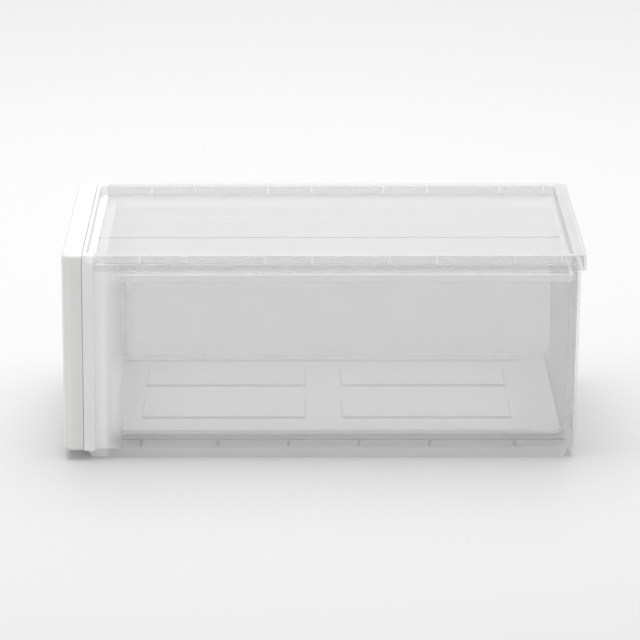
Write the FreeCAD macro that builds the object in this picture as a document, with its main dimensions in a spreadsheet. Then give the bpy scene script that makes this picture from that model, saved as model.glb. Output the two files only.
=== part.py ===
import FreeCAD, Part
import os
import Sketcher

# A pull-out shoe box in moulded polypropylene: a translucent case with a clip-on lid and front
# frame, and a translucent drawer behind an opaque front panel. Lengths are in millimetres.
# +Z is up, X runs across the box, and the drawer opens towards -Y. The origin is on the ground,
# under the middle of the closed box.

SIZES = [
    # alias, value, what it is
    ("box_width", 230.0, "over the lid, side to side"),
    ("box_depth", 340.0, "front panel's face to the back of the lid"),
    ("box_height", 137.0, "ground to the top of the lid's rim"),
    ("skirt_bottom", 6.8, "lower edge of the case walls, the frame and the panel"),
    # front panel
    ("panel_thickness", 13.2, "depth of the front panel"),
    ("panel_skin", 2.4, "wall of the hollow front panel"),
    ("panel_corner", 8.0, "rounding of the panel's upright front edges"),
    ("panel_edge", 2.0, "rounding of the panel's top and bottom front edges"),
    ("panel_rib", 1.6, "thickness of the ribs inside the panel"),
    ("panel_rib_pitch", 27.6, "between the ribs inside the panel"),
    ("panel_seam", 0.1, "gap between the panel and the frame"),
    ("pull_width", 92.0, "width of the finger pull"),
    ("pull_height", 22.0, "height of the finger pull's mouth"),
    ("pull_depth", 8.6, "depth of the finger pull"),
    ("pull_centre", 98.0, "height of the middle of the finger pull"),
    ("pull_lip", 7.0, "undercut behind the finger pull's upper edge"),
    ("pull_corner", 6.0, "rounding of the corners of the finger pull's mouth"),
    ("boss_size", 9.0, "square bosses that join the panel to the drawer"),
    ("boss_low", 34.0, "height of the lower bosses"),
    ("boss_high", 70.0, "height of the upper bosses"),
    # front frame
    ("frame_depth", 7.5, "depth of the frame's ring"),
    ("frame_top_wall", 2.6, "wall at the frame's top, in front of the stacking seat"),
    ("frame_clearance", 0.45, "gap all round between the drawer and the frame"),
    ("frame_edge", 1.2, "rounding of the frame's outer edges"),
    ("collar_depth", 6.2, "length of the collar inside the case walls"),
    ("collar_wall", 1.7, "wall of the collar"),
    ("collar_top", 126.2, "top of the collar"),
    ("bar_front", -154.5, "front of the foot bar, above its bevel"),
    ("bar_toe", -151.8, "front of the foot bar on the ground"),
    # case shell
    ("shell_half_low", 109.4, "outside of a side wall at its lower edge, from the middle"),
    ("draft", 0.0194, "outward lean of the walls per millimetre of height"),
    ("shell_front", -149.2, "front edge of the case walls"),
    ("shell_back_low", 164.4, "outside of the back wall at its lower edge"),
    ("shell_top", 130.3, "top edge of the case walls"),
    ("shell_wall", 2.0, "wall of the case"),
    ("shell_corner", 3.5, "rounding of the case's upright back edges"),
    ("floor_bottom", 11.0, "underside of the case floor"),
    ("floor_top", 13.0, "top of the case floor"),
    ("foot_half", 104.3, "outside of the foot rim, from the middle"),
    ("foot_back", 159.0, "back of the foot rim"),
    ("foot_wall", 2.0, "wall of the foot rim"),
    ("foot_chamfer", 4.0, "bevel under the foot's ends"),
    ("rib_wall", 1.6, "thickness of the ribs under the floor"),
    ("rib_place_a", -119.5, "middle of the first rib under the floor"),
    ("rib_place_b", -69.3, "middle of the second rib"),
    ("rib_place_c", -23.0, "middle of the third rib"),
    ("rib_place_d", 23.0, "middle of the fourth rib"),
    ("rib_place_e", 69.2, "middle of the fifth rib"),
    ("rib_place_f", 124.8, "middle of the last rib"),
    ("weld", 0.5, "how far an added feature runs into the solid it joins"),
    ("spare", 1.0, "how far a cut runs past the solid it opens"),
    ("rest_gap", 0.02, "gap between pieces that rest on each other"),
    ("web_depth", 0.8, "how much the four floor panels are thinned from below"),
    # lid
    ("rim_width", 8.7, "width of the lid's rim"),
    ("lid_wall", 1.8, "wall of the lid's rim and lip"),
    ("lip_bottom", 126.5, "lower edge of the lid's lip"),
    ("plate_top", 130.3, "top of the lid's plate, which is the stacking seat"),
    ("plate_bottom", 128.3, "underside of the lid's plate"),
    ("lid_corner", 6.0, "rounding of the lid's upright back edges"),
    ("lid_edge", 0.9, "rounding along the top of the rim"),
    ("band_half", 32.0, "half the width of the raised band along the lid"),
    ("band_height", 1.0, "height of the raised band"),
    ("band_back", 157.5, "back end of the raised band"),
    ("gusset_wall", 1.4, "thickness of a gusset in the rim"),
    ("gusset_top", 135.2, "top of the gussets, which is the underside of the rim"),
    ("gusset_start", -103.6, "middle of the first pair of gussets"),
    ("gusset_pitch", 80.7, "from one pair of gussets to the next"),
    ("gusset_gap", 30.5, "between the two gussets of a pair"),
    ("back_gusset_pitch", 64.5, "from one pair of gussets to the next along the back"),
    # drawer tub
    ("tub_front", -149.0, "front of the drawer tub"),
    ("tub_back", 161.3, "back of the drawer tub"),
    ("tub_bottom", 13.9, "underside of the tub's floor"),
    ("tub_rim", 122.3, "top of the tub"),
    ("tub_wall", 1.7, "wall of the tub"),
    ("tub_half_low", 104.0, "outside of a tub wall at its floor, from the middle"),
    ("tub_back_round", 12.0, "rounding of the tub's lower back edge"),
    ("tub_edge", 4.0, "rounding of the tub's other edges"),
    ("rail_proud", 0.6, "how far the rim band and the front band stand out"),
    ("bevel", 3.0, "bevel where a band turns a corner of the tub"),
    ("rim_band", 4.6, "height of the tub's rim band"),
    ("front_band", 10.5, "depth of the tub's front band"),
    ("pad_height", 1.5, "height of the raised pads in the tub's floor"),
    ("pad_inner", 17.0, "inner side of the pads, from the middle"),
    ("pad_outer", 68.0, "outer side of the pads, from the middle"),
    ("pad_front", -121.0, "front end of the front pads"),
    ("pad_back", 125.0, "back end of the back pads"),
    ("pad_middle", 11.5, "half the gap between front and back pads"),
    ("track_inner", 89.5, "inner side of the stop track under the tub, from the middle"),
    ("track_outer", 100.0, "outer side of the stop track"),
    ("track_front", -145.0, "front end of the stop track"),
    ("track_back", 134.4, "back end of the stop track"),
    ("track_rise", 1.6, "how far the track is raised into the tub's floor"),
    # stop clips
    ("clip_front", -143.6, "front of a stop clip"),
    ("clip_length", 13.8, "length of a stop clip"),
    ("clip_inner", 89.0, "inner side of a stop clip, from the middle"),
    ("clip_outer", 101.6, "outer side of a stop clip"),
    ("clip_bottom", 4.4, "underside of a stop clip"),
    ("clip_wall", 1.5, "wall of a stop clip"),
    ("nose_front", -141.0, "front of the clip's nose"),
    ("nose_length", 9.6, "length of the clip's nose"),
    ("nose_inner", 92.2, "inner side of the nose, from the middle"),
    ("nose_width", 5.6, "width of the nose"),
    ("nose_top", 14.9, "top of the nose"),
    ("slot_gap", 0.3, "gap round the nose in the floor's slot"),
]

doc = FreeCAD.newDocument("shoe_box")
sheet = doc.addObject("Spreadsheet::Sheet", "sizes")
for row, (alias, value, meaning) in enumerate(SIZES, start=1):
    sheet.set(f"A{row}", meaning)
    sheet.set(f"B{row}", str(value))
    sheet.setAlias(f"B{row}", alias)
doc.recompute()


def value_of(expression):
    """The number that an expression over the sheet gives now."""
    return float(sheet.evalExpression(expression))


def origin_plane(body, role):
    return next(plane for plane in body.Origin.OriginFeatures if plane.Role == role)


def new_body(name):
    body = doc.addObject("PartDesign::Body", name)
    body.Label = name
    return body


def hold(sketch, kind, line, expression):
    """Hold a line's start at a signed distance from the sketch's origin."""
    value = value_of(expression)
    if abs(value) < 1e-9:
        axis = -2 if kind == "DistanceX" else -1
        sketch.addConstraint(Sketcher.Constraint("PointOnObject", line, 1, axis))
        return
    constraint = sketch.addConstraint(Sketcher.Constraint(kind, -1, 1, line, 1, value))
    sketch.setExpression(f"Constraints[{constraint}]", expression)


def add_loop(sketch, corners):
    """A closed loop of straight lines. Each corner is a pair of expressions."""
    points = [FreeCAD.Vector(value_of(across), value_of(along), 0) for across, along in corners]
    first = sketch.GeometryCount
    count = len(points)
    for index in range(count):
        sketch.addGeometry(Part.LineSegment(points[index], points[(index + 1) % count]))
    for index in range(count):
        after = (index + 1) % count
        sketch.addConstraint(Sketcher.Constraint("Coincident", first + index, 2, first + after, 1))
    for index, (across, along) in enumerate(corners):
        hold(sketch, "DistanceX", first + index, across)
        hold(sketch, "DistanceY", first + index, along)


def rectangle(left, right, low, high):
    return [(left, low), (right, low), (right, high), (left, high)]


def both_sides(inner, outer, low, high):
    """The same rectangle on the right and, mirrored, on the left."""
    return [rectangle(inner, outer, low, high), rectangle(f"-({outer})", f"-({inner})", low, high)]


def add_sketch(body, name, role, offset, loops):
    """A sketch parallel to one of the body's own planes, at an offset along that plane's normal."""
    sketch = body.newObject("Sketcher::SketchObject", name)
    sketch.AttachmentSupport = [(origin_plane(body, role), "")]
    sketch.MapMode = "FlatFace"
    sketch.setExpression(".AttachmentOffset.Base.z", offset)
    for loop in loops:
        add_loop(sketch, loop)
    doc.recompute()
    return sketch


def extrude(body, kind, name, sketch, length, backwards=False, taper=None):
    """A Pad or Pocket of a sketch. It has to change the body's volume the way its kind says."""
    before = body.Shape.Volume if body.Tip else 0.0
    feature = body.newObject(f"PartDesign::{kind}", name)
    feature.Profile = sketch
    feature.setExpression("Length", length)
    feature.Reversed = backwards
    if taper is not None:
        feature.TaperAngle = taper
    sketch.Visibility = False
    doc.recompute()
    grown = body.Shape.Volume - before
    if (kind == "Pad") != (grown > 0.0) or abs(grown) < 1e-6:
        raise RuntimeError(f"{body.Label}: {name} changed the volume by {grown:.3f}")
    return feature


def loft(body, kind, name, low, high):
    feature = body.newObject(f"PartDesign::{kind}", name)
    feature.Profile = low
    feature.Sections = [high]
    feature.Ruled = True
    doc.recompute()
    return feature


def fillet(body, name, radius, test):
    """Round every edge of the body's shape that the test accepts."""
    base = body.Tip
    edges = [f"Edge{index}" for index, edge in enumerate(base.Shape.Edges, start=1)
             if not edge.Degenerated and test(edge)]
    if not edges:
        raise RuntimeError(f"{body.Label}: {name} found no edge")
    feature = body.newObject("PartDesign::Fillet", name)
    feature.Base = (base, edges)
    feature.setExpression("Radius", radius)
    doc.recompute()
    if "Invalid" in feature.State or not feature.Shape.isValid():
        raise RuntimeError(f"{body.Label}: {name} failed")
    return feature


def middle(edge):
    return edge.valueAt((edge.FirstParameter + edge.LastParameter) / 2.0)


def near(value, target, reach=0.01):
    return abs(value - target) < reach


def runs_along(edge, axis):
    """True for a straight edge that is nearly parallel to an axis."""
    if not isinstance(edge.Curve, (Part.Line, Part.BSplineCurve)):
        return False
    chord = edge.Vertexes[-1].Point - edge.Vertexes[0].Point
    return chord.Length > 0.5 and abs(chord.normalize().dot(axis)) > 0.99


UP = FreeCAD.Vector(0, 0, 1)
ACROSS = FreeCAD.Vector(1, 0, 0)
ALONG = FreeCAD.Vector(0, 1, 0)
PAD_SLOPE = -30  # degrees, narrowing upwards

# Expressions that more than one piece uses.
half_width = "sizes.box_width / 2"
front = "sizes.box_depth / 2"
panel_back = "(sizes.box_depth / 2 - sizes.panel_thickness)"
frame_front = f"({panel_back} - sizes.panel_seam)"
rim_inner = "(sizes.box_width / 2 - sizes.rim_width)"


def shell_half(height, inset="0"):
    """Half the width over the case's side walls at a height, less an inset."""
    lean = f"({height} - sizes.skirt_bottom) * sizes.draft"
    return f"(sizes.shell_half_low + {lean} - ({inset}))"


def shell_back(height, inset="0"):
    lean = f"({height} - sizes.skirt_bottom) * sizes.draft"
    return f"(sizes.shell_back_low + {lean} - ({inset}))"


def tub_half(height, proud="0"):
    """Half the width over the tub's side walls at a height."""
    return f"(sizes.tub_half_low + ({height} - sizes.tub_bottom) * sizes.draft + ({proud}))"


def make_case_shell():
    """Floor, two sides and a back, open at the front and the top."""
    body = new_body("case_shell")

    def outline(name, height, inset, front_edge):
        half = shell_half(height, inset)
        loop = rectangle(f"-{half}", half, front_edge, shell_back(height, inset))
        return add_sketch(body, name, "XY_Plane", height, [loop])

    low_half = shell_half("sizes.skirt_bottom")
    top_half = shell_half("sizes.shell_top")
    section = [(f"-{low_half}", "sizes.skirt_bottom"), (low_half, "sizes.skirt_bottom"),
               (top_half, "sizes.shell_top"), (f"-{top_half}", "sizes.shell_top")]
    sketch = add_sketch(body, "section_outline", "XZ_Plane", "-sizes.shell_front", [section])
    top_back = shell_back("sizes.shell_top")
    extrude(body, "Pad", "block", sketch, f"{top_back} - sizes.shell_front", backwards=True)
    lean = [("sizes.shell_back_low", "sizes.skirt_bottom"), (top_back, "sizes.shell_top"),
            (f"{top_back} + sizes.spare", "sizes.shell_top"),
            (f"{top_back} + sizes.spare", "sizes.skirt_bottom - sizes.spare"),
            ("sizes.shell_back_low", "sizes.skirt_bottom - sizes.spare")]
    sketch = add_sketch(body, "lean_outline", "YZ_Plane", f"-({half_width})", [lean])
    extrude(body, "Pocket", "leaning_back", sketch, "sizes.box_width", backwards=True)
    fillet(body, "back_corners", "sizes.shell_corner",
           lambda edge: runs_along(edge, UP) and middle(edge).y > 0)
    open_front = "sizes.shell_front - sizes.spare"
    loft(body, "SubtractiveLoft", "inside",
         outline("inside_low", "sizes.floor_top", "sizes.shell_wall", open_front),
         outline("inside_high", "sizes.shell_top + sizes.spare", "sizes.shell_wall", open_front))
    inner_front = "sizes.shell_front + sizes.shell_wall"
    loft(body, "SubtractiveLoft", "underside",
         outline("underside_low", "sizes.skirt_bottom - sizes.spare", "sizes.shell_wall", inner_front),
         outline("underside_high", "sizes.floor_bottom", "sizes.shell_wall", inner_front))

    # The foot rim stands inside the skirt, so that it drops into the lid of the box below.
    foot_front = "sizes.shell_front"
    foot = rectangle("-sizes.foot_half", "sizes.foot_half", foot_front, "sizes.foot_back")
    inside_foot = rectangle("-(sizes.foot_half - sizes.foot_wall)", "sizes.foot_half - sizes.foot_wall",
                            f"{foot_front} + sizes.foot_wall", "sizes.foot_back - sizes.foot_wall")
    sketch = add_sketch(body, "foot_outline", "XY_Plane", "0", [foot, inside_foot])
    extrude(body, "Pad", "foot_rim", sketch, "sizes.floor_bottom + sizes.weld")
    bevel = [("sizes.foot_back + sizes.spare", "-sizes.spare"),
             ("sizes.foot_back + sizes.spare", "sizes.foot_chamfer"),
             ("sizes.foot_back", "sizes.foot_chamfer"),
             ("sizes.foot_back - sizes.foot_chamfer / 2", "-sizes.spare")]
    sketch = add_sketch(body, "foot_bevel_outline", "YZ_Plane", f"-({half_width})", [bevel])
    extrude(body, "Pocket", "foot_bevel", sketch, "sizes.box_width", backwards=True)

    # Four panels of the floor are thinned from below.
    webs = []
    for low, high in (("sizes.pad_front", "-sizes.pad_middle"), ("sizes.pad_middle", "sizes.pad_back")):
        webs += both_sides("sizes.pad_inner", "sizes.pad_outer", low, high)
    sketch = add_sketch(body, "web_outlines", "XY_Plane", "sizes.floor_bottom", webs)
    extrude(body, "Pocket", "thin_webs", sketch, "sizes.web_depth", backwards=True)

    # Six ribs under the floor tie the skirt to the foot rim. They aren't evenly spaced.
    ribs = []
    half = shell_half("sizes.skirt_bottom", "sizes.shell_wall / 2")
    for letter in "abcdef":
        place = f"sizes.rib_place_{letter}"
        ribs.append(rectangle(f"-{half}", half, f"{place} - sizes.rib_wall / 2",
                              f"{place} + sizes.rib_wall / 2"))
    sketch = add_sketch(body, "rib_outlines", "XY_Plane", "sizes.skirt_bottom", ribs)
    rib_height = "sizes.floor_bottom - sizes.skirt_bottom + sizes.web_depth + sizes.weld"
    extrude(body, "Pad", "ribs", sketch, rib_height)

    # A slot on each side of the floor lets the stop clip's nose through.
    slots = both_sides("sizes.nose_inner - sizes.slot_gap",
                       "sizes.nose_inner + sizes.nose_width + sizes.slot_gap",
                       "sizes.nose_front - sizes.slot_gap",
                       "sizes.nose_front + sizes.nose_length + sizes.slot_gap")
    sketch = add_sketch(body, "slot_outlines", "XY_Plane", "sizes.floor_top", slots)
    extrude(body, "Pocket", "clip_slots", sketch, "sizes.floor_top - sizes.floor_bottom + sizes.spare")
    return body


def make_front_frame():
    """A ring that closes the front of the case and guides the drawer, with a collar inside the walls."""
    body = new_body("front_frame")
    low_half = tub_half("sizes.floor_top", "sizes.rail_proud + sizes.frame_clearance")
    high = "(sizes.tub_rim + sizes.frame_clearance)"
    high_half = tub_half(high, "sizes.rail_proud + sizes.frame_clearance")
    mouth = [(f"-{low_half}", "sizes.floor_top"), (low_half, "sizes.floor_top"),
             (high_half, high), (f"-{high_half}", high)]
    outline = rectangle(f"-({half_width})", half_width, "sizes.skirt_bottom", "sizes.box_height")
    sketch = add_sketch(body, "ring_outline", "XZ_Plane", frame_front, [outline, mouth])
    extrude(body, "Pad", "ring", sketch, "sizes.frame_depth", backwards=True)
    face = -value_of(frame_front)
    side = value_of(half_width)
    top = value_of("sizes.box_height")
    base = value_of("sizes.skirt_bottom")

    def is_outer(edge):
        """True for an edge round the outside of the ring's front face."""
        point = middle(edge)
        on_outline = near(abs(point.x), side) or near(point.z, top) or near(point.z, base)
        return near(point.y, face) and on_outline

    fillet(body, "ring_edges", "sizes.frame_edge", is_outer)

    # Behind a thin wall at the top, the ring is cut down to the lid's plate.
    ledge = rectangle(f"-{rim_inner}", rim_inner, "sizes.plate_top", "sizes.box_height + sizes.spare")
    sketch = add_sketch(body, "ledge_outline", "XZ_Plane", f"{frame_front} - sizes.frame_top_wall", [ledge])
    extrude(body, "Pocket", "ledge", sketch, "sizes.frame_depth")

    # The collar lies against the inside of the case walls and stands on the case floor.
    outer_low = shell_half("sizes.floor_top", "sizes.shell_wall + sizes.rest_gap")
    outer_high = shell_half("sizes.collar_top", "sizes.shell_wall + sizes.rest_gap")
    inner_low = shell_half("sizes.floor_top", "sizes.shell_wall + sizes.rest_gap + sizes.collar_wall")
    inner_high = shell_half("sizes.collar_top", "sizes.shell_wall + sizes.rest_gap + sizes.collar_wall")
    under_top = "sizes.collar_top - sizes.collar_wall"
    collar = [(f"-{outer_low}", "sizes.floor_top"), (f"-{inner_low}", "sizes.floor_top"),
              (f"-{inner_high}", under_top), (inner_high, under_top),
              (inner_low, "sizes.floor_top"), (outer_low, "sizes.floor_top"),
              (outer_high, "sizes.collar_top"), (f"-{outer_high}", "sizes.collar_top")]
    ring_back = f"({frame_front} - sizes.frame_depth)"
    sketch = add_sketch(body, "collar_outline", "XZ_Plane", f"{ring_back} + sizes.weld", [collar])
    extrude(body, "Pad", "collar", sketch, "sizes.collar_depth + sizes.weld", backwards=True)

    # The foot bar carries the foot rim on under the frame. Its front is bevelled.
    bar_top = "sizes.skirt_bottom + sizes.spare"
    bar_back = f"-{ring_back} - sizes.rest_gap"
    bar = [("sizes.bar_front", bar_top), ("sizes.bar_front", "sizes.foot_chamfer"),
           ("sizes.bar_toe", "0"), (bar_back, "0"), (bar_back, bar_top)]
    sketch = add_sketch(body, "foot_bar_outline", "YZ_Plane", "-sizes.foot_half", [bar])
    extrude(body, "Pad", "foot_bar", sketch, "2 * sizes.foot_half")
    return body


def make_top_lid():
    """A recessed plate in a hollow rim. The case walls stand in the rim, under its gussets."""
    body = new_body("top_lid")
    lid_front = f"-({frame_front} - sizes.frame_depth)"
    back = "sizes.box_depth / 2"
    outline = rectangle(f"-({half_width})", half_width, lid_front, back)
    sketch = add_sketch(body, "lid_outline", "XY_Plane", "sizes.lip_bottom", [outline])
    extrude(body, "Pad", "block", sketch, "sizes.box_height - sizes.lip_bottom")
    fillet(body, "back_corners", "sizes.lid_corner",
           lambda edge: runs_along(edge, UP) and middle(edge).y > 0)

    open_front = f"{lid_front} - sizes.spare"
    seat = rectangle(f"-{rim_inner}", rim_inner, open_front, f"{back} - sizes.rim_width")
    sketch = add_sketch(body, "seat_outline", "XY_Plane", "sizes.box_height", [seat])
    extrude(body, "Pocket", "seat", sketch, "sizes.box_height - sizes.plate_top")
    band = rectangle("-sizes.band_half", "sizes.band_half", lid_front, "sizes.band_back")
    sketch = add_sketch(body, "band_outline", "XY_Plane", "sizes.plate_top - sizes.weld", [band])
    extrude(body, "Pad", "raised_band", sketch, "sizes.band_height + sizes.weld")

    sketch = add_sketch(body, "under_outline", "XY_Plane", "sizes.plate_bottom", [seat])
    extrude(body, "Pocket", "under_plate", sketch, "sizes.plate_bottom - sizes.lip_bottom + sizes.spare")

    # The channel inside the rim, with its gussets left across it.
    lip = f"({half_width} - sizes.lid_wall)"
    channel_back = f"({back} - sizes.lid_wall)"
    wall = f"({rim_inner} + sizes.lid_wall)"
    wall_back = f"({back} - sizes.rim_width + sizes.lid_wall)"
    channel = [(f"-{lip}", open_front), (f"-{wall}", open_front),
               (f"-{wall}", wall_back), (wall, wall_back),
               (wall, open_front), (lip, open_front),
               (lip, channel_back), (f"-{lip}", channel_back)]
    sketch = add_sketch(body, "channel_outline", "XY_Plane", "sizes.gusset_top", [channel])
    extrude(body, "Pocket", "channel", sketch, "sizes.gusset_top - sizes.lip_bottom + sizes.spare")
    half_gusset = "sizes.gusset_wall / 2"
    gussets = []
    for pair in range(4):
        for side in (-0.5, 0.5):
            place = f"(sizes.gusset_start + sizes.gusset_pitch * {pair} + sizes.gusset_gap * {side})"
            gussets += both_sides(f"({wall} - sizes.weld)", f"({lip} + sizes.weld)",
                                  f"{place} - {half_gusset}", f"{place} + {half_gusset}")
    for pair in (-1, 0, 1):
        for side in (-0.5, 0.5):
            place = f"(sizes.back_gusset_pitch * {pair} + sizes.gusset_gap * {side})"
            gussets.append(rectangle(f"{place} - {half_gusset}", f"{place} + {half_gusset}",
                                     f"{wall_back} - sizes.weld", f"{channel_back} + sizes.weld"))
    sketch = add_sketch(body, "gusset_outlines", "XY_Plane", "sizes.shell_top", gussets)
    extrude(body, "Pad", "gussets", sketch, "sizes.gusset_top - sizes.shell_top + sizes.weld")
    rim_top = value_of("sizes.box_height")
    fillet(body, "rim_edges", "sizes.lid_edge",
           lambda edge: near(middle(edge).z, rim_top) and not near(middle(edge).y, value_of(lid_front)))
    return body


def make_drawer_tub():
    """The drawer behind the front panel: floor and four walls, open at the top."""
    body = new_body("drawer_tub")

    bottom = value_of("sizes.tub_bottom")
    rim = value_of("sizes.tub_rim")
    wall = value_of("sizes.tub_wall")
    back_round = value_of("sizes.tub_back_round")

    def is_inside(edge):
        """True for an edge of the tub's hollow."""
        point = middle(edge)
        half = value_of(tub_half(str(point.z), "-sizes.tub_wall / 2"))
        behind_front = point.y > value_of("sizes.tub_front") + wall / 2
        before_back = point.y < value_of("sizes.tub_back") - wall / 2
        return abs(point.x) < half and behind_front and before_back and point.z > bottom + wall / 2

    def is_low_back(edge):
        """True for an edge across the tub, at the bottom of its back wall."""
        point = middle(edge)
        near_back = point.y > value_of("sizes.tub_back") - 1.5 * back_round
        return runs_along(edge, ACROSS) and near_back and point.z < bottom + 1.5 * back_round

    low_half = tub_half("sizes.tub_bottom")
    rim_half = tub_half("sizes.tub_rim")
    section = [(f"-{low_half}", "sizes.tub_bottom"), (low_half, "sizes.tub_bottom"),
               (rim_half, "sizes.tub_rim"), (f"-{rim_half}", "sizes.tub_rim")]
    sketch = add_sketch(body, "section_outline", "XZ_Plane", "-sizes.tub_front", [section])
    extrude(body, "Pad", "block", sketch, "sizes.tub_back - sizes.tub_front", backwards=True)
    floor_top = "(sizes.tub_bottom + sizes.tub_wall)"
    floor_half = tub_half(floor_top, "-sizes.tub_wall")
    above = "(sizes.tub_rim + sizes.spare)"
    mouth_half = tub_half(above, "-sizes.tub_wall")
    section = [(f"-{floor_half}", floor_top), (floor_half, floor_top),
               (mouth_half, above), (f"-{mouth_half}", above)]
    sketch = add_sketch(body, "inside_outline", "XZ_Plane", "-sizes.tub_front - sizes.tub_wall", [section])
    extrude(body, "Pocket", "inside", sketch, "sizes.tub_back - sizes.tub_front - 2 * sizes.tub_wall")
    # The hollow's edges are rounded first, while the walls round it are still square.
    fillet(body, "inner_back_edge", "sizes.tub_back_round - sizes.tub_wall",
           lambda edge: is_low_back(edge) and is_inside(edge))
    fillet(body, "inner_edges", "sizes.tub_edge - sizes.tub_wall",
           lambda edge: not near(middle(edge).z, rim) and is_inside(edge) and not is_low_back(edge))
    fillet(body, "lower_back_edge", "sizes.tub_back_round",
           lambda edge: is_low_back(edge) and not is_inside(edge))
    fillet(body, "outer_edges", "sizes.tub_edge",
           lambda edge: not near(middle(edge).z, rim) and not is_inside(edge) and not is_low_back(edge))

    # A band round the rim and another round the front stand a little proud of the walls.
    proud = "sizes.rail_proud"
    root = "-sizes.tub_wall / 2"
    band_low = "(sizes.tub_rim - sizes.rim_band)"
    outer_half = tub_half("sizes.tub_rim", proud)
    core_half = tub_half(band_low, root)
    rim_outer = rectangle(f"-{outer_half}", outer_half, "sizes.tub_front", f"sizes.tub_back + {proud}")
    rim_core = rectangle(f"-{core_half}", core_half, "sizes.tub_front + sizes.tub_wall / 2",
                         "sizes.tub_back - sizes.tub_wall / 2")
    sketch = add_sketch(body, "rim_band_outline", "XY_Plane", band_low, [rim_outer, rim_core])
    extrude(body, "Pad", "rim_band", sketch, "sizes.rim_band")

    def half_ring(offset, base):
        """The right half of a U across the tub, from the middle of its floor to the rim band."""
        low = tub_half("sizes.tub_bottom", offset)
        return [(f"{low} - sizes.bevel", base), (low, f"{base} + sizes.bevel"),
                (tub_half(band_low, offset), band_low)]

    outside = half_ring(proud, f"(sizes.tub_bottom - {proud})")
    inside = half_ring(root, "(sizes.tub_bottom + sizes.tub_wall / 2)")
    front_ring = ([(f"-({x})", z) for x, z in reversed(outside)] + outside
                  + inside[::-1] + [(f"-({x})", z) for x, z in inside])
    sketch = add_sketch(body, "front_band_outline", "XZ_Plane", "-sizes.tub_front", [front_ring])
    extrude(body, "Pad", "front_band", sketch, "sizes.front_band", backwards=True)

    # Raised pads with sloping edges, two by two, and a raised track on each side for the stop clips' noses.
    pads = []
    for low, high in (("sizes.pad_front", "-sizes.pad_middle"), ("sizes.pad_middle", "sizes.pad_back")):
        pads += both_sides("sizes.pad_inner", "sizes.pad_outer", low, high)
    sketch = add_sketch(body, "pad_outlines", "XY_Plane", f"{floor_top} - sizes.weld", pads)
    extrude(body, "Pad", "pads", sketch, "sizes.pad_height + sizes.weld", taper=PAD_SLOPE)
    sketch = add_sketch(body, "pad_hollow_outlines", "XY_Plane", "sizes.tub_bottom", pads)
    extrude(body, "Pocket", "pad_hollows", sketch, "sizes.pad_height", backwards=True, taper=PAD_SLOPE)
    tracks = both_sides("sizes.track_inner", "sizes.track_outer", "sizes.track_front", "sizes.track_back")
    ridges = both_sides("sizes.track_inner - sizes.tub_wall", "sizes.track_outer + sizes.tub_wall",
                        "sizes.track_front - sizes.tub_wall", "sizes.track_back + sizes.tub_wall")
    sketch = add_sketch(body, "ridge_outlines", "XY_Plane", f"{floor_top} - sizes.weld", ridges)
    extrude(body, "Pad", "track_ridges", sketch, "sizes.track_rise + sizes.weld")
    sketch = add_sketch(body, "track_outlines", "XY_Plane",
                        f"sizes.tub_bottom - {proud} - sizes.spare", tracks)
    extrude(body, "Pocket", "tracks", sketch, f"sizes.track_rise + {proud} + sizes.spare", backwards=True)
    return body


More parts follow.
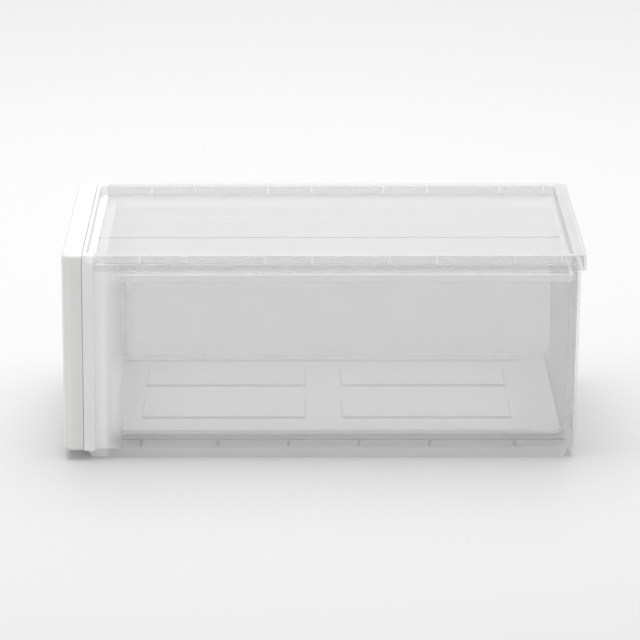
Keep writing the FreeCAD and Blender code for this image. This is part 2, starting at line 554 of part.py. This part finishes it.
def make_front_panel():
    """The hollow opaque front, with a finger pull in its face and bosses on its back."""
    body = new_body("front_panel")
    outline = rectangle(f"-({half_width})", half_width, "sizes.skirt_bottom", "sizes.box_height")
    sketch = add_sketch(body, "panel_outline", "XZ_Plane", front, [outline])
    extrude(body, "Pad", "block", sketch, "sizes.panel_thickness", backwards=True)
    face = -value_of(front)
    fillet(body, "upright_edges", "sizes.panel_corner",
           lambda edge: runs_along(edge, UP) and near(middle(edge).y, face))
    top = value_of("sizes.box_height")
    base = value_of("sizes.skirt_bottom")
    rear = -value_of(panel_back)

    def is_level_edge(edge):
        """True for an edge round the panel's top or bottom face, but for its two at the back."""
        point = middle(edge)
        return (near(point.z, top) or near(point.z, base)) and not near(point.y, rear)

    fillet(body, "front_edges", "sizes.panel_edge", is_level_edge)

    skin = "sizes.panel_skin"
    hollow = rectangle(f"-({half_width} - {skin})", f"{half_width} - {skin}",
                       f"sizes.skirt_bottom + {skin}", f"sizes.box_height - {skin}")
    sketch = add_sketch(body, "hollow_outline", "XZ_Plane", panel_back, [hollow])
    extrude(body, "Pocket", "hollow", sketch, f"sizes.panel_thickness - {skin}", backwards=True)

    # Upright ribs stiffen the face.
    rib = "sizes.panel_rib"
    ribs = []
    for step in range(-3, 4):
        place = f"(sizes.panel_rib_pitch * {step})"
        ribs.append(rectangle(f"{place} - {rib} / 2", f"{place} + {rib} / 2",
                              f"sizes.skirt_bottom + {skin} / 2", f"sizes.box_height - {skin} / 2"))
    sketch = add_sketch(body, "rib_outlines", "XZ_Plane", f"{front} - {skin} / 2", ribs)
    extrude(body, "Pad", "ribs", sketch, f"sizes.panel_thickness - {skin} / 2 - {rib}", backwards=True)

    # The pocket of the finger pull is walled off inside the hollow.
    mouth_low = "sizes.pull_centre - sizes.pull_height / 2"
    mouth_high = "sizes.pull_centre + sizes.pull_height / 2"
    box_half = f"(sizes.pull_width / 2 + {skin})"
    pull_box = rectangle(f"-{box_half}", box_half, f"{mouth_low} - {skin}",
                         f"{mouth_high} + sizes.pull_lip + {skin}")
    sketch = add_sketch(body, "pull_box_outline", "XZ_Plane", f"{front} - {skin} / 2", [pull_box])
    extrude(body, "Pad", "pull_box", sketch, f"sizes.pull_depth + {skin} / 2", backwards=True)
    mouth = rectangle("-sizes.pull_width / 2", "sizes.pull_width / 2", mouth_low, mouth_high)
    sketch = add_sketch(body, "pull_mouth_outline", "XZ_Plane", f"{front} + sizes.spare", [mouth])
    extrude(body, "Pocket", "pull_mouth", sketch, "sizes.pull_depth + sizes.spare")
    pull_half = value_of("sizes.pull_width / 2")
    pull_back = face + value_of("sizes.pull_depth")
    fillet(body, "pull_corners", "sizes.pull_corner",
           lambda edge: runs_along(edge, ALONG) and near(abs(middle(edge).x), pull_half)
           and middle(edge).y < pull_back)
    undercut = rectangle(f"-({front} - {skin})", f"-({front} - sizes.pull_depth)",
                         "sizes.pull_centre", f"{mouth_high} + sizes.pull_lip")
    sketch = add_sketch(body, "pull_lip_outline", "YZ_Plane", "-sizes.pull_width / 2", [undercut])
    extrude(body, "Pocket", "pull_undercut", sketch, "sizes.pull_width", backwards=True)

    # Bosses on the ribs reach through the frame to the front of the tub.
    bosses = []
    boss = "sizes.boss_size / 2"
    for step in (1, 3):
        for height in ("sizes.boss_low", "sizes.boss_high"):
            bosses += both_sides(f"sizes.panel_rib_pitch * {step} - {boss}",
                                 f"sizes.panel_rib_pitch * {step} + {boss}",
                                 f"{height} - {boss}", f"{height} + {boss}")
    sketch = add_sketch(body, "boss_outlines", "XZ_Plane", f"{front} - {skin} / 2", bosses)
    extrude(body, "Pad", "bosses", sketch, f"{front} - {skin} / 2 + sizes.tub_front", backwards=True)
    return body


def make_stop_clip(name, side):
    """A small clip under the floor. Its nose stands in the drawer's track and stops the drawer."""
    body = new_body(name)

    def span(inner, outer):
        return (inner, outer) if side > 0 else (f"-({outer})", f"-({inner})")

    left, right = span("sizes.clip_inner", "sizes.clip_outer")
    block = rectangle(left, right, "sizes.clip_front", "sizes.clip_front + sizes.clip_length")
    sketch = add_sketch(body, "block_outline", "XY_Plane", "sizes.clip_bottom", [block])
    extrude(body, "Pad", "block", sketch, "sizes.floor_bottom - sizes.clip_bottom - sizes.rest_gap")
    wall = "sizes.clip_wall"
    left, right = span(f"sizes.clip_inner + {wall}", f"sizes.clip_outer - {wall}")
    inside = rectangle(left, right, f"sizes.clip_front + {wall}",
                       f"sizes.clip_front + sizes.clip_length - {wall}")
    sketch = add_sketch(body, "inside_outline", "XY_Plane", "sizes.clip_bottom", [inside])
    depth = f"sizes.floor_bottom - sizes.clip_bottom - {wall}"
    extrude(body, "Pocket", "inside", sketch, depth, backwards=True)
    left, right = span("sizes.nose_inner", "sizes.nose_inner + sizes.nose_width")
    nose = rectangle(left, right, "sizes.nose_front", "sizes.nose_front + sizes.nose_length")
    sketch = add_sketch(body, "nose_outline", "XY_Plane", f"sizes.floor_bottom - {wall} / 2", [nose])
    extrude(body, "Pad", "nose", sketch, f"sizes.nose_top - sizes.floor_bottom + {wall} / 2")
    return body


parts = [
    make_case_shell(),
    make_front_frame(),
    make_top_lid(),
    make_drawer_tub(),
    make_front_panel(),
    make_stop_clip("stop_clip_left", -1),
    make_stop_clip("stop_clip_right", 1),
]
doc.recompute()

for item in doc.Objects:
    if "Invalid" in item.State or "Error" in item.State:
        raise RuntimeError(f"{item.Label} failed: {item.State}")
for body in parts:
    if body.Shape.isNull() or not body.Shape.isValid() or len(body.Shape.Solids) != 1:
        raise RuntimeError(f"{body.Label} is not one valid solid")

os.makedirs("parts", exist_ok=True)
for body in parts:
    body.Shape.exportStep(f"parts/{body.Label}.step")
    box = body.Shape.BoundBox
    print(f"{body.Label:16s} {body.Shape.Volume / 1000:8.2f} cm3  x {box.XMin:8.2f} {box.XMax:8.2f}"
          f"  y {box.YMin:8.2f} {box.YMax:8.2f}  z {box.ZMin:7.2f} {box.ZMax:7.2f}")
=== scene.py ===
"""A see-through plastic shoe box with a drawer, set up in a plain studio."""
import math

import bpy
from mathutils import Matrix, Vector


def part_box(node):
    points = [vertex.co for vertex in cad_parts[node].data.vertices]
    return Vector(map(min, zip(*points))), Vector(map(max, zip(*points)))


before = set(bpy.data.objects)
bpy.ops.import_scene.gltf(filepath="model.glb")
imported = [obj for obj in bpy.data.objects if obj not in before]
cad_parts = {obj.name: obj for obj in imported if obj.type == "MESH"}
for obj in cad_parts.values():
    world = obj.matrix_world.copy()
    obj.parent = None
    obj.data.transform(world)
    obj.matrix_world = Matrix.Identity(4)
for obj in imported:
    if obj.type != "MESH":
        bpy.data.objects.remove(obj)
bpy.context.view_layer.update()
scene = bpy.context.scene

# ---------------------------------------------------------------------------------------------
# Front panel. One hollow moulding of white polypropylene that clips to the front of the drawer,
# with ribs inside and a finger pull in its face. It is the only piece that hides what is behind.

MM = 0.001
WHITE_PP = "#E4E4E3"
WHITE_PP_IN_FLOW = "#E0E0DF"
POLYPROPYLENE_IOR = 1.49
SATIN_ROUGHNESS = (0.36, 0.48)
SPARK_GRAIN_MM = 0.6  # a real spark-eroded grain is about 0.1 mm, too fine to show
GRAIN_DEPTH_MM = 0.02
GRAIN_STRENGTH = 0.12
FLOW_MM = 40.0  # between the streaks where the melt flowed
EDGE_RADIUS_MM = 0.6
EDGE_SAMPLES = 4
NOISE_SPREAD = (0.3, 0.7)  # most of a noise texture's values lie in here
GLOW_SHARE = 0.15  # of the light, the share that comes out again from just under the skin
GLOW_DEPTH_MM = 1.5
EVEN_GLOW = (1.0, 1.0, 1.0)


def linear(hex_colour):
    """An sRGB hex colour as linear red, green, blue and alpha."""
    channels = [int(hex_colour[place:place + 2], 16) / 255 for place in (1, 3, 5)]
    return [c / 12.92 if c <= 0.04045 else ((c + 0.055) / 1.055) ** 2.4 for c in channels] + [1.0]


def add_node(tree, kind, settings=None, inputs=None):
    """Adds a node, sets its own properties, and gives each input named a value or a link."""
    node = tree.nodes.new(kind)
    for name, value in (settings or {}).items():
        setattr(node, name, value)
    for key, value in (inputs or {}).items():
        if isinstance(value, bpy.types.NodeSocket):
            tree.links.new(value, node.inputs[key])
        else:
            node.inputs[key].default_value = value
    return node


def empty_material(name):
    """A new material and its node tree, cleared."""
    material = bpy.data.materials.new(name)
    material.use_nodes = True
    material.node_tree.nodes.clear()
    return material, material.node_tree


def spark_grain(tree, place, round_normal):
    """The fine grain that a spark-eroded mould leaves: its height, and a normal bumped by it."""
    grain = add_node(tree, "ShaderNodeTexNoise", inputs={
        "Vector": place, "Scale": 1 / (SPARK_GRAIN_MM * MM), "Detail": 3.0, "Roughness": 0.6})
    bump = add_node(tree, "ShaderNodeBump", inputs={
        "Height": grain.outputs["Fac"], "Strength": GRAIN_STRENGTH,
        "Distance": GRAIN_DEPTH_MM * MM, "Normal": round_normal})
    return grain.outputs["Fac"], bump.outputs["Normal"]


def dress(node_name, material):
    """Gives a CAD node its material."""
    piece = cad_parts[node_name]
    piece.data.materials.clear()
    piece.data.materials.append(material)


def moulded_white_polypropylene():
    """White polypropylene off a spark-eroded mould: a soft waxy sheen, broken by a fine grain,
    with a faint cloudiness where the melt flowed."""
    material, tree = empty_material("moulded_white_polypropylene")
    place = add_node(tree, "ShaderNodeTexCoord").outputs["Object"]
    soft_edge = add_node(tree, "ShaderNodeBevel", {"samples": EDGE_SAMPLES}, {
        "Radius": EDGE_RADIUS_MM * MM}).outputs[0]
    grain, bump = spark_grain(tree, place, soft_edge)
    flow = add_node(tree, "ShaderNodeTexNoise", inputs={
        "Vector": place, "Scale": 1 / (FLOW_MM * MM), "Detail": 2.0, "Distortion": 0.6})
    colour = add_node(tree, "ShaderNodeMix", {"data_type": "RGBA"}, {
        0: flow.outputs["Fac"], 6: linear(WHITE_PP), 7: linear(WHITE_PP_IN_FLOW)})
    gloss = add_node(tree, "ShaderNodeMapRange", inputs={
        "Value": grain, "From Min": NOISE_SPREAD[0], "From Max": NOISE_SPREAD[1],
        "To Min": SATIN_ROUGHNESS[0], "To Max": SATIN_ROUGHNESS[1]})
    shader = add_node(tree, "ShaderNodeBsdfPrincipled", inputs={
        "Base Color": colour.outputs[2], "Roughness": gloss.outputs["Result"],
        "IOR": POLYPROPYLENE_IOR, "Normal": bump, "Subsurface Weight": GLOW_SHARE,
        "Subsurface Radius": EVEN_GLOW, "Subsurface Scale": GLOW_DEPTH_MM * MM})
    add_node(tree, "ShaderNodeOutputMaterial", inputs={"Surface": shader.outputs[0]})
    return material


dress("front_panel", moulded_white_polypropylene())

# ---------------------------------------------------------------------------------------------
# Case shell. One moulding of natural polypropylene makes the side and back walls, the floor and
# the foot rim, with ribs across under the floor. The front frame's collar lines its open front.

NATURAL_PP = "#FAFAFA"
# the whitest tint: for thick plastic, and for the places that are painted lighter
NATURAL_PP_WHITEST = "#FFFFFF"
SMOKE = "#F2F2F2"  # the tint that a wall gives to light going straight through
UNDIMMED = "#FFFFFF"
CLEAR_WALL = 0.81  # the share of light that goes straight through a 2 mm wall
CLEAR_MILKIEST = 0.1  # the same where the plastic is thick, and where it is painted lighter
GLOW_WALL = 0.6  # of the scattered light, the share that comes out on the far side
GLOW_MILKIEST = 0.0
LEVEL_FACE_PAINTED_LIGHT = 0.6  # painted light: how far a level face, up or down, is painted towards the whitest tint
CLEAR_ROUGHNESS = (0.28, 0.4)
EDGE_REACH_MM = 0.7
EDGE_TURN = 0.8  # the cosine between a face and its rounded edge that counts as fully an edge
STEEPEST = 0.08  # the cosine of the most slanting look that is told apart
COLLAR_MM = 6.2
# Where the collar lines the walls the shell is made milkier and whiter, partly for the doubled plastic
# and partly as painted light; the fade behind the collar is painted light only.
COLLAR_PAINTED_LIGHT_FADE_MM = 12.0
FOOT_MM = 11.0
SKIRT_MM = 4.0  # the lower edge of the walls, outside the foot rim, stays clear
# Painted light: the foot rim and the ribs under the floor are made milkier and whiter, so the shade
# under the box reads lighter.
UNDERSIDE_PAINTED_LIGHT = 0.7


def moulded_natural_polypropylene(piece, clear=CLEAR_WALL, glow=GLOW_WALL, tint=NATURAL_PP,
                                  thick_and_painted_light=None, level_face_painted_light=LEVEL_FACE_PAINTED_LIGHT):
    """Polypropylene with no pigment: milky, so what lies behind a wall shows sharp but pale.

    A slanting look passes through more plastic, so less comes through. Edges and thick places
    gather light and look whiter, and level faces are painted whiter: painted light from above. All
    of that is worked out where a ray enters the plastic, and the face that it leaves by is clear.
    The mask function passed in gives, from 0 to 1, where the piece is thick and where it is painted
    lighter.
    """
    material, tree = empty_material(f"moulded_natural_polypropylene_{piece}")
    place = add_node(tree, "ShaderNodeTexCoord").outputs["Object"]
    geometry = add_node(tree, "ShaderNodeNewGeometry")
    leaving = geometry.outputs["Backfacing"]
    round_normal = add_node(tree, "ShaderNodeBevel", {"samples": EDGE_SAMPLES}, {
        "Radius": EDGE_REACH_MM * MM}).outputs[0]
    grain, bump = spark_grain(tree, place, round_normal)

    along = add_node(tree, "ShaderNodeVectorMath", {"operation": "DOT_PRODUCT"}, {
        0: round_normal, 1: geometry.outputs["Normal"]})
    milkier = add_node(tree, "ShaderNodeMapRange", inputs={
        "Value": along.outputs["Value"], "From Min": 1.0, "From Max": EDGE_TURN}).outputs["Result"]
    # The mask adds the thick places and the places painted lighter.
    if thick_and_painted_light:
        milkier = add_node(tree, "ShaderNodeMath", {"operation": "MAXIMUM"}, {
            0: milkier, 1: thick_and_painted_light(tree, place)}).outputs[0]
    whiter = milkier
    # Painted light: level faces, up and down alike, are painted whiter, as if lit from above.
    if level_face_painted_light:
        axes = add_node(tree, "ShaderNodeSeparateXYZ", inputs={0: geometry.outputs["Normal"]})
        painted_level_light = add_node(tree, "ShaderNodeMath", {"operation": "ABSOLUTE"}, {
            0: axes.outputs["Z"]}).outputs[0]
        painted_level_light = add_node(tree, "ShaderNodeMath", {"operation": "MULTIPLY"}, {
            0: painted_level_light, 1: level_face_painted_light}).outputs[0]
        whiter = add_node(tree, "ShaderNodeMath", {"operation": "MAXIMUM"}, {
            0: milkier, 1: painted_level_light}).outputs[0]

    colour = add_node(tree, "ShaderNodeMix", {"data_type": "RGBA"}, {
        0: whiter, 6: linear(tint), 7: linear(NATURAL_PP_WHITEST)}).outputs[2]
    far_side = add_node(tree, "ShaderNodeMapRange", inputs={
        "Value": milkier, "To Min": glow, "To Max": GLOW_MILKIEST}).outputs["Result"]
    back = add_node(tree, "ShaderNodeBsdfDiffuse", inputs={"Color": colour}).outputs[0]
    forward = add_node(tree, "ShaderNodeBsdfTranslucent", inputs={"Color": colour}).outputs[0]
    milk = add_node(tree, "ShaderNodeMixShader", inputs={0: far_side, 1: back, 2: forward})

    facing = add_node(tree, "ShaderNodeLayerWeight", inputs={"Blend": 0.5}).outputs["Facing"]
    slant = add_node(tree, "ShaderNodeMath", {"operation": "SUBTRACT"}, {0: 1.0, 1: facing})
    slant = add_node(tree, "ShaderNodeMath", {"operation": "MAXIMUM"}, {
        0: slant.outputs[0], 1: STEEPEST})
    path = add_node(tree, "ShaderNodeMath", {"operation": "DIVIDE"}, {0: 1.0, 1: slant.outputs[0]})
    clarity = add_node(tree, "ShaderNodeMapRange", inputs={
        "Value": milkier, "To Min": clear, "To Max": CLEAR_MILKIEST})
    straight = add_node(tree, "ShaderNodeMath", {"operation": "POWER"}, {
        0: clarity.outputs["Result"], 1: path.outputs[0]})
    straight = add_node(tree, "ShaderNodeMath", {"operation": "MAXIMUM"}, {
        0: straight.outputs[0], 1: leaving})
    smoke = add_node(tree, "ShaderNodeMix", {"data_type": "RGBA"}, {
        0: leaving, 6: linear(SMOKE), 7: linear(UNDIMMED)})
    through = add_node(tree, "ShaderNodeBsdfTransparent", inputs={"Color": smoke.outputs[2]})
    wall = add_node(tree, "ShaderNodeMixShader", inputs={
        0: straight.outputs[0], 1: milk.outputs[0], 2: through.outputs[0]})

    gloss = add_node(tree, "ShaderNodeMapRange", inputs={
        "Value": grain, "From Min": NOISE_SPREAD[0], "From Max": NOISE_SPREAD[1],
        "To Min": CLEAR_ROUGHNESS[0], "To Max": CLEAR_ROUGHNESS[1]})
    mirror = add_node(tree, "ShaderNodeBsdfGlossy", inputs={
        "Roughness": gloss.outputs["Result"], "Normal": bump})
    fresnel = add_node(tree, "ShaderNodeFresnel", inputs={"IOR": POLYPROPYLENE_IOR, "Normal": bump})
    entering = add_node(tree, "ShaderNodeMath", {"operation": "SUBTRACT"}, {0: 1.0, 1: leaving})
    sheen = add_node(tree, "ShaderNodeMath", {"operation": "MULTIPLY"}, {
        0: entering.outputs[0], 1: fresnel.outputs[0]})
    skin = add_node(tree, "ShaderNodeMixShader", inputs={
        0: sheen.outputs[0], 1: wall.outputs[0], 2: mirror.outputs[0]})
    add_node(tree, "ShaderNodeOutputMaterial", inputs={"Surface": skin.outputs[0]})
    return material


def shell_bands_and_painted_light(tree, place):
    """How milky the shell is made: 1 where the frame's collar lines the walls, partly for the doubled
    plastic and partly painted light, fading out behind it as painted light; a share in the foot rim
    and the ribs inside the skirt, painted light that lifts the shade under the floor; 0 elsewhere."""
    low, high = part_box("case_shell")
    collar_end = low.y + COLLAR_MM * MM
    axes = add_node(tree, "ShaderNodeSeparateXYZ", inputs={0: place})
    # Collar band: partly the doubled plastic, partly painted light; its fade behind the collar is
    # painted light.
    front = add_node(tree, "ShaderNodeMapRange", inputs={
        "Value": axes.outputs["Y"], "From Min": collar_end, "From Max": collar_end + COLLAR_PAINTED_LIGHT_FADE_MM * MM,
        "To Min": 1.0, "To Max": 0.0})
    foot = add_node(tree, "ShaderNodeMath", {"operation": "LESS_THAN"}, {
        0: axes.outputs["Z"], 1: low.z + FOOT_MM * MM})
    across = add_node(tree, "ShaderNodeMath", {"operation": "ABSOLUTE"}, {0: axes.outputs["X"]})
    inside = add_node(tree, "ShaderNodeMath", {"operation": "LESS_THAN"}, {
        0: across.outputs[0], 1: high.x - SKIRT_MM * MM})
    # Painted light: a milkier, whiter foot rim and ribs lift the shade under the floor.
    painted_rib_share = add_node(tree, "ShaderNodeMath", {"operation": "MULTIPLY"}, {
        0: inside.outputs[0], 1: UNDERSIDE_PAINTED_LIGHT})
    underside_painted_light = add_node(tree, "ShaderNodeMath", {"operation": "MULTIPLY"}, {
        0: foot.outputs[0], 1: painted_rib_share.outputs[0]})
    return add_node(tree, "ShaderNodeMath", {"operation": "MAXIMUM"}, {
        0: front.outputs["Result"], 1: underside_painted_light.outputs[0]}).outputs[0]


dress("case_shell", moulded_natural_polypropylene("shell", thick_and_painted_light=shell_bands_and_painted_light))

# ---------------------------------------------------------------------------------------------
# Top lid. A plate inside a hollow rim, moulded in natural polypropylene and snapped over the
# walls. Pairs of gussets hold the rim, and the feet of the next box stand in the hollow.

# Painted shade: the same natural polypropylene as the shell, tinted darker and given no whiter level
# faces, so that the plate under the top soft box is not too bright.
LID_PP_PAINTED_SHADE = "#EDEDED"

dress("top_lid", moulded_natural_polypropylene("lid", tint=LID_PP_PAINTED_SHADE, level_face_painted_light=0.0))

# ---------------------------------------------------------------------------------------------
# Drawer. A tub moulded in natural polypropylene, with a thicker band round its rim and another
# round its front. It slides on the case floor, and the panel clips to its front.

FRONT_BAND_MM = 10.5
RIM_BAND_MM = 4.6
FLOOR_MM = 4.0
# Partly a thicker floor plate, partly painted light: the floor is made milkier and whiter, as if lit
# from above.
FLOOR_THICK_AND_PAINTED_LIGHT = 0.6


def drawer_bands_and_painted_light(tree, place):
    """How milky the drawer is made: 1 in its two thicker bands, a share in its floor, partly for a
    thicker floor plate and partly painted light from above, and 0 elsewhere."""
    low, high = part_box("drawer_tub")
    axes = add_node(tree, "ShaderNodeSeparateXYZ", inputs={0: place})
    front = add_node(tree, "ShaderNodeMath", {"operation": "LESS_THAN"}, {
        0: axes.outputs["Y"], 1: low.y + FRONT_BAND_MM * MM})
    rim = add_node(tree, "ShaderNodeMath", {"operation": "GREATER_THAN"}, {
        0: axes.outputs["Z"], 1: high.z - RIM_BAND_MM * MM})
    bottom = add_node(tree, "ShaderNodeMath", {"operation": "LESS_THAN"}, {
        0: axes.outputs["Z"], 1: low.z + FLOOR_MM * MM})
    bands = add_node(tree, "ShaderNodeMath", {"operation": "MAXIMUM"}, {
        0: front.outputs[0], 1: rim.outputs[0]})
    bottom = add_node(tree, "ShaderNodeMath", {"operation": "MULTIPLY"}, {
        0: bottom.outputs[0], 1: FLOOR_THICK_AND_PAINTED_LIGHT})
    return add_node(tree, "ShaderNodeMath", {"operation": "MAXIMUM"}, {
        0: bands.outputs[0], 1: bottom.outputs[0]}).outputs[0]


dress("drawer_tub", moulded_natural_polypropylene("drawer", thick_and_painted_light=drawer_bands_and_painted_light))

# ---------------------------------------------------------------------------------------------
# Front frame. A ring of natural polypropylene that closes the front of the case and that the
# drawer passes through. Its collar fits inside the walls, and its bar meets the foot rim.

RING_MM = 7.5
RING_SHARE = 0.75
COLLAR_CLEAR = 0.35
COLLAR_GLOW = 0.15


def frame_ring(tree, place):
    """How thick the frame counts as: RING_SHARE in its ring, and 0 in the collar behind it."""
    low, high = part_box("front_frame")
    axes = add_node(tree, "ShaderNodeSeparateXYZ", inputs={0: place})
    ring = add_node(tree, "ShaderNodeMath", {"operation": "LESS_THAN"}, {
        0: axes.outputs["Y"], 1: low.y + RING_MM * MM})
    return add_node(tree, "ShaderNodeMath", {"operation": "MULTIPLY"}, {
        0: ring.outputs[0], 1: RING_SHARE}).outputs[0]


dress("front_frame", moulded_natural_polypropylene(
    "frame", clear=COLLAR_CLEAR, glow=COLLAR_GLOW, tint=NATURAL_PP_WHITEST, thick_and_painted_light=frame_ring))

# ---------------------------------------------------------------------------------------------
# Stop clips. Two small blocks of natural polypropylene, set in slots in the case floor close
# behind the frame. A nose on each catches the drawer at the end of its travel.

CLIP_CLEAR = 0.3

clip_material = moulded_natural_polypropylene("clip", clear=CLIP_CLEAR, tint=NATURAL_PP_WHITEST)
for side in ("left", "right"):
    dress(f"stop_clip_{side}", clip_material)

# ---------------------------------------------------------------------------------------------
# Studio. Pale pressed paper on the floor, matte with a faint fibre, in a bright plain room. A
# wide soft box hangs overhead, a smaller one stands in front of the drawer, and a third lights
# the paper far to the left of the box.

PAPER = "#DCDCDC"
PAPER_FIBRE = "#DADADA"
PAPER_ROUGHNESS = 0.9
FIBRE_MM = 2.0  # real fibres are finer than 0.1 mm, too fine to show
FIBRE_DEPTH_MM = 0.05
FIBRE_STRENGTH = 0.05
FLOOR_HALF_M = 8.0
ROOM_RIGHT = 1.0  # how bright the room is to the right of the box
ROOM_LEFT = 0.6
BACKDROP_GLOW = 0.12  # what the low part of the left side adds

floor_mesh = bpy.data.meshes.new("studio_floor")
corners = [(x * FLOOR_HALF_M, y * FLOOR_HALF_M, 0) for x, y in ((-1, -1), (1, -1), (1, 1), (-1, 1))]
floor_mesh.from_pydata(corners, [], [(0, 1, 2, 3)])
floor = bpy.data.objects.new("studio_floor", floor_mesh)
scene.collection.objects.link(floor)
paper, tree = empty_material("pressed_matte_paper")
place = add_node(tree, "ShaderNodeTexCoord").outputs["Object"]
fibres = add_node(tree, "ShaderNodeTexNoise", inputs={"Vector": place, "Scale": 1 / (FIBRE_MM * MM)})
colour = add_node(tree, "ShaderNodeMix", {"data_type": "RGBA"}, {
    0: fibres.outputs["Fac"], 6: linear(PAPER), 7: linear(PAPER_FIBRE)})
bump = add_node(tree, "ShaderNodeBump", inputs={
    "Height": fibres.outputs["Fac"], "Strength": FIBRE_STRENGTH, "Distance": FIBRE_DEPTH_MM * MM})
shader = add_node(tree, "ShaderNodeBsdfPrincipled", inputs={
    "Base Color": colour.outputs[2], "Roughness": PAPER_ROUGHNESS, "Normal": bump.outputs["Normal"]})
add_node(tree, "ShaderNodeOutputMaterial", inputs={"Surface": shader.outputs[0]})
floor.data.materials.append(paper)

air = bpy.data.worlds.new("studio_air")
scene.world = air
air.use_nodes = True
tree = air.node_tree
tree.nodes.clear()
direction = add_node(tree, "ShaderNodeTexCoord").outputs["Generated"]
axes = add_node(tree, "ShaderNodeSeparateXYZ", inputs={0: direction})
room = add_node(tree, "ShaderNodeMapRange", inputs={
    "Value": axes.outputs["X"], "From Min": 1.0, "From Max": -0.2,
    "To Min": ROOM_RIGHT, "To Max": ROOM_LEFT})
behind = add_node(tree, "ShaderNodeMapRange", inputs={
    "Value": axes.outputs["X"], "From Min": 0.4, "From Max": -0.3,
    "To Min": 0.0, "To Max": BACKDROP_GLOW})
low_down = add_node(tree, "ShaderNodeMapRange", inputs={
    "Value": axes.outputs["Z"], "From Min": 0.6, "From Max": 0.3})
light = add_node(tree, "ShaderNodeMath", {"operation": "MULTIPLY_ADD"}, {
    0: behind.outputs["Result"], 1: low_down.outputs["Result"], 2: room.outputs["Result"]})
sky = add_node(tree, "ShaderNodeBackground", inputs={"Strength": light.outputs[0]})
add_node(tree, "ShaderNodeOutputWorld", inputs={"Surface": sky.outputs[0]})


def soft_box(name, place, aim, size, watts):
    """A square soft light at place that faces aim."""
    lamp = bpy.data.lights.new(name, "AREA")
    lamp.size = size
    lamp.energy = watts
    box = bpy.data.objects.new(name, lamp)
    box.location = place
    box.rotation_euler = (Vector(aim) - Vector(place)).to_track_quat("-Z", "Y").to_euler()
    scene.collection.objects.link(box)


soft_box("top_soft_box", place=(-0.3, 0.0, 1.7), aim=(-0.05, 0, 0), size=2.0, watts=24)
soft_box("side_soft_box", place=(0.2, -2.2, 1.0), aim=(0, 0, 0), size=1.6, watts=8)
soft_box("backdrop_soft_box", place=(-3.0, 0.0, 2.4), aim=(-2.2, 0, 0), size=2.0, watts=36)

# ---------------------------------------------------------------------------------------------
# Camera. It stands to the right of the box with a long lens, looking at the long side from a
# little above. Light may pass enough clear faces to come through both sides of case and drawer.

LENS_MM = 235.6
SENSOR_MM = 36.0
ELEVATION = math.radians(13.6)
YAW = math.radians(0.244)
DISTANCE_M = 2.713
AIM = Vector((0.115, -0.0026, 0.0944))
CLEAR_FACES = 48

level_look = Vector((-math.cos(YAW), math.sin(YAW), 0))
look = level_look * math.cos(ELEVATION) + Vector((0, 0, -math.sin(ELEVATION)))
lens = bpy.data.cameras.new("camera")
lens.sensor_width = SENSOR_MM
lens.lens = LENS_MM
camera = bpy.data.objects.new("camera", lens)
camera.location = AIM - look * DISTANCE_M
camera.rotation_euler = look.to_track_quat("-Z", "Y").to_euler()
scene.collection.objects.link(camera)
scene.camera = camera
scene.view_settings.view_transform = "Standard"
scene.cycles.transparent_max_bounces = CLEAR_FACES
